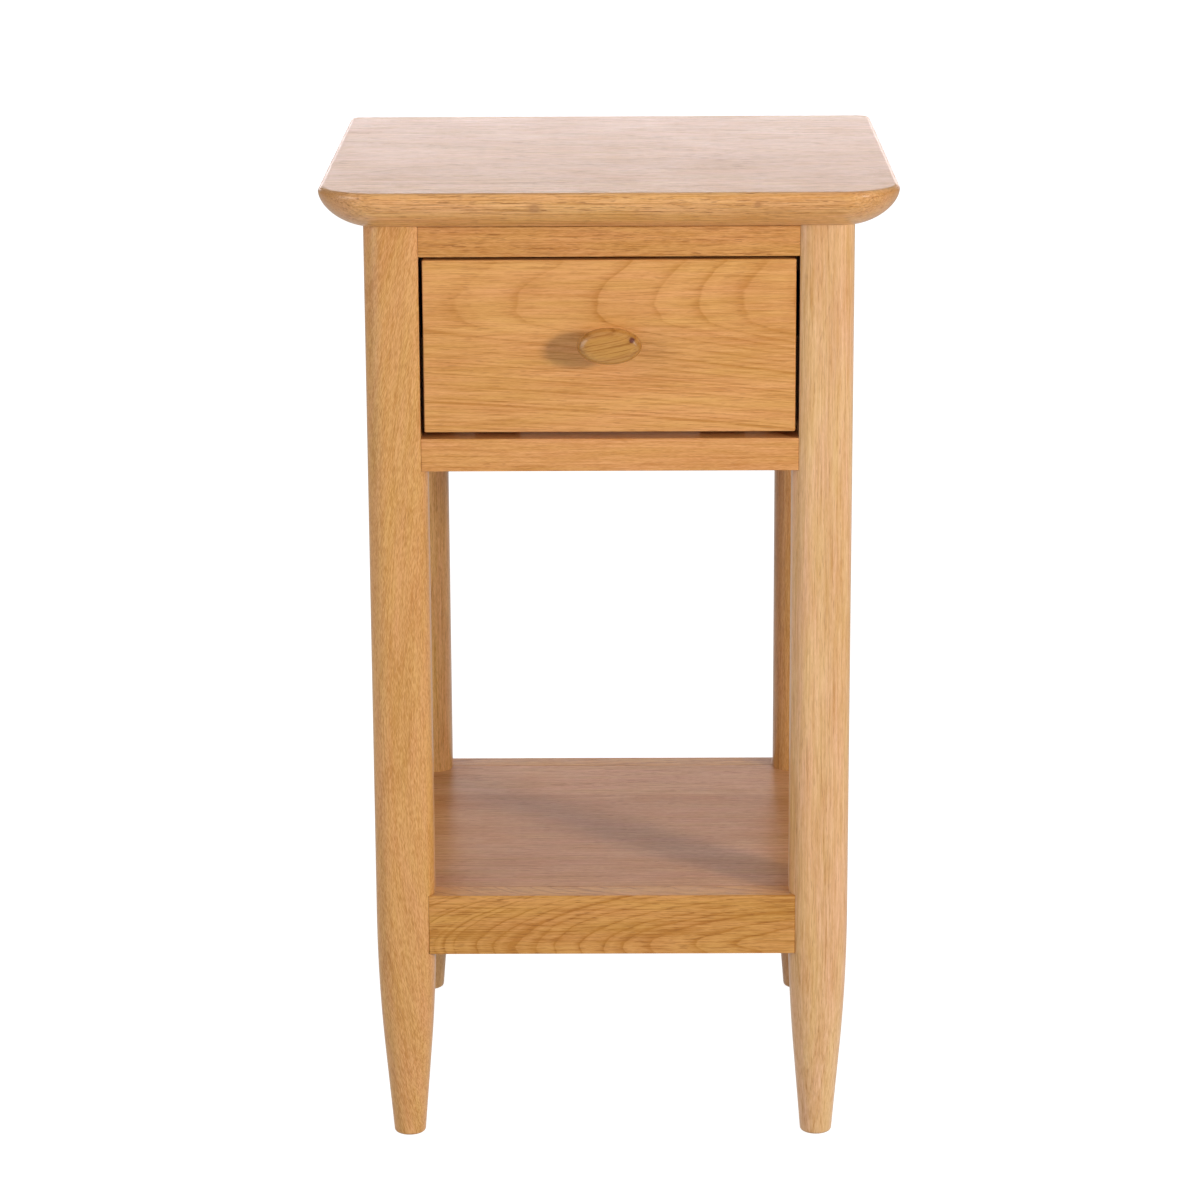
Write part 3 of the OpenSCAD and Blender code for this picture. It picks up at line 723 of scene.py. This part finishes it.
# a white floor with far white walls, which only the camera sees
FLOOR_REACH = 60
floor_bm = bmesh.new()
bmesh.ops.create_grid(floor_bm, x_segments=1, y_segments=1, size=FLOOR_REACH)
walls = bmesh.ops.extrude_edge_only(floor_bm, edges=list(floor_bm.edges))["geom"]
wall_tops = [part for part in walls if isinstance(part, bmesh.types.BMVert)]
bmesh.ops.translate(floor_bm, verts=wall_tops, vec=(0, 0, FLOOR_REACH))
floor = add_object("floor", floor_bm)
floor.location.z = min(leg_low.z, 0)
floor_paint = bpy.data.materials.new("floor_white")
floor_paint.use_nodes = True
floor_shader = floor_paint.node_tree.nodes["Principled BSDF"]
floor_shader.inputs["Base Color"].default_value = (0.25, 0.25, 0.25, 1)
floor_shader.inputs["Roughness"].default_value = 0.9
floor_shader.inputs["Specular IOR Level"].default_value = 0.1
floor_shader.inputs["Emission Color"].default_value = (1, 1, 1, 1)
floor_shader.inputs["Emission Strength"].default_value = 0.95
floor.data.materials.append(floor_paint)
floor.visible_diffuse = False
floor.visible_glossy = False
floor.visible_shadow = False

# radiance of the studio's walls: overhead, ahead of the table, behind it, and below it
OVERHEAD, AHEAD, BEHIND, BELOW = 0.45, 0.2, 0.2, 0.6
world = bpy.data.worlds.new("studio")
scene.world = world
world.use_nodes = True
w = Tree(world.node_tree)
toward = w.separate(w.node("ShaderNodeTexCoord").outputs["Generated"])
level = w.spread(toward[1], -0.2, 0.3, AHEAD, BEHIND)
for start, end, radiance in ((0.2, 0.7, OVERHEAD), (0, -0.35, BELOW)):
    share = w.spread(toward[2], start, end)
    rest = w.math("MULTIPLY", level, w.math("SUBTRACT", 1, share))
    level = w.math("MULTIPLY_ADD", share, radiance, rest)
background = world.node_tree.nodes["Background"].inputs
background["Color"].default_value = (1, 1, 1, 1)
w.put(background["Strength"], level)


def soft_light(name, place_at, aim, width, height, power, colour=(1, 1, 1)):
    """A softbox that the camera doesn't see."""
    data = bpy.data.lights.new(name, "AREA")
    data.shape = "RECTANGLE"
    data.size = width
    data.size_y = height
    data.energy = power
    data.color = colour
    lamp = bpy.data.objects.new(name, data)
    scene.collection.objects.link(lamp)
    lamp.location = place_at
    lamp.rotation_euler = (Vector(aim) - Vector(place_at)).to_track_quat("-Z", "Y").to_euler()
    lamp.visible_camera = False
    return lamp


# the glint shares the key's place: only it shows in the lacquer, so the shine stays gentle
KEY_POWER, GLINT_POWER, FILL_POWER, BACK_POWER = 50, 25, 38, 151
middle = (0, 0, 0.45)
key_place = (2.35, -2.2, 1.2)
soft_light("key", key_place, middle, 0.5, 0.5, KEY_POWER).visible_glossy = False
soft_light("glint", key_place, middle, 0.5, 0.5, GLINT_POWER)
soft_light("fill", (-2.6, -1.75, 1.2), middle, 2.2, 2.2, FILL_POWER)
soft_light("back", (0, 9, 1.33), (0, 0, 0.66), 9, 1.3, BACK_POWER, (1, 0.915, 0.95))

# the view: a long lens a little above the table, looking down on it
LENS = 118.8
EYE = Vector((0.0095, -2.713, 1.0573))
YAW, PITCH, ROLL = -0.00645, -0.2569, -0.005
ahead = Vector((math.sin(YAW) * math.cos(PITCH), math.cos(YAW) * math.cos(PITCH), math.sin(PITCH)))
right = Vector((math.cos(YAW), -math.sin(YAW), 0))
upward = right.cross(ahead)
rolled_right = math.cos(ROLL) * right + math.sin(ROLL) * upward
rolled_up = math.cos(ROLL) * upward - math.sin(ROLL) * right
camera_data = bpy.data.cameras.new("camera")
camera_data.lens = LENS
camera_data.sensor_width = 36
camera_data.clip_end = 3 * FLOOR_REACH
camera = bpy.data.objects.new("camera", camera_data)
scene.collection.objects.link(camera)
turn = Matrix((rolled_right, rolled_up, -ahead)).transposed().to_4x4()
camera.matrix_world = Matrix.Translation(EYE) @ turn
scene.camera = camera
scene.view_settings.view_transform = "Standard"
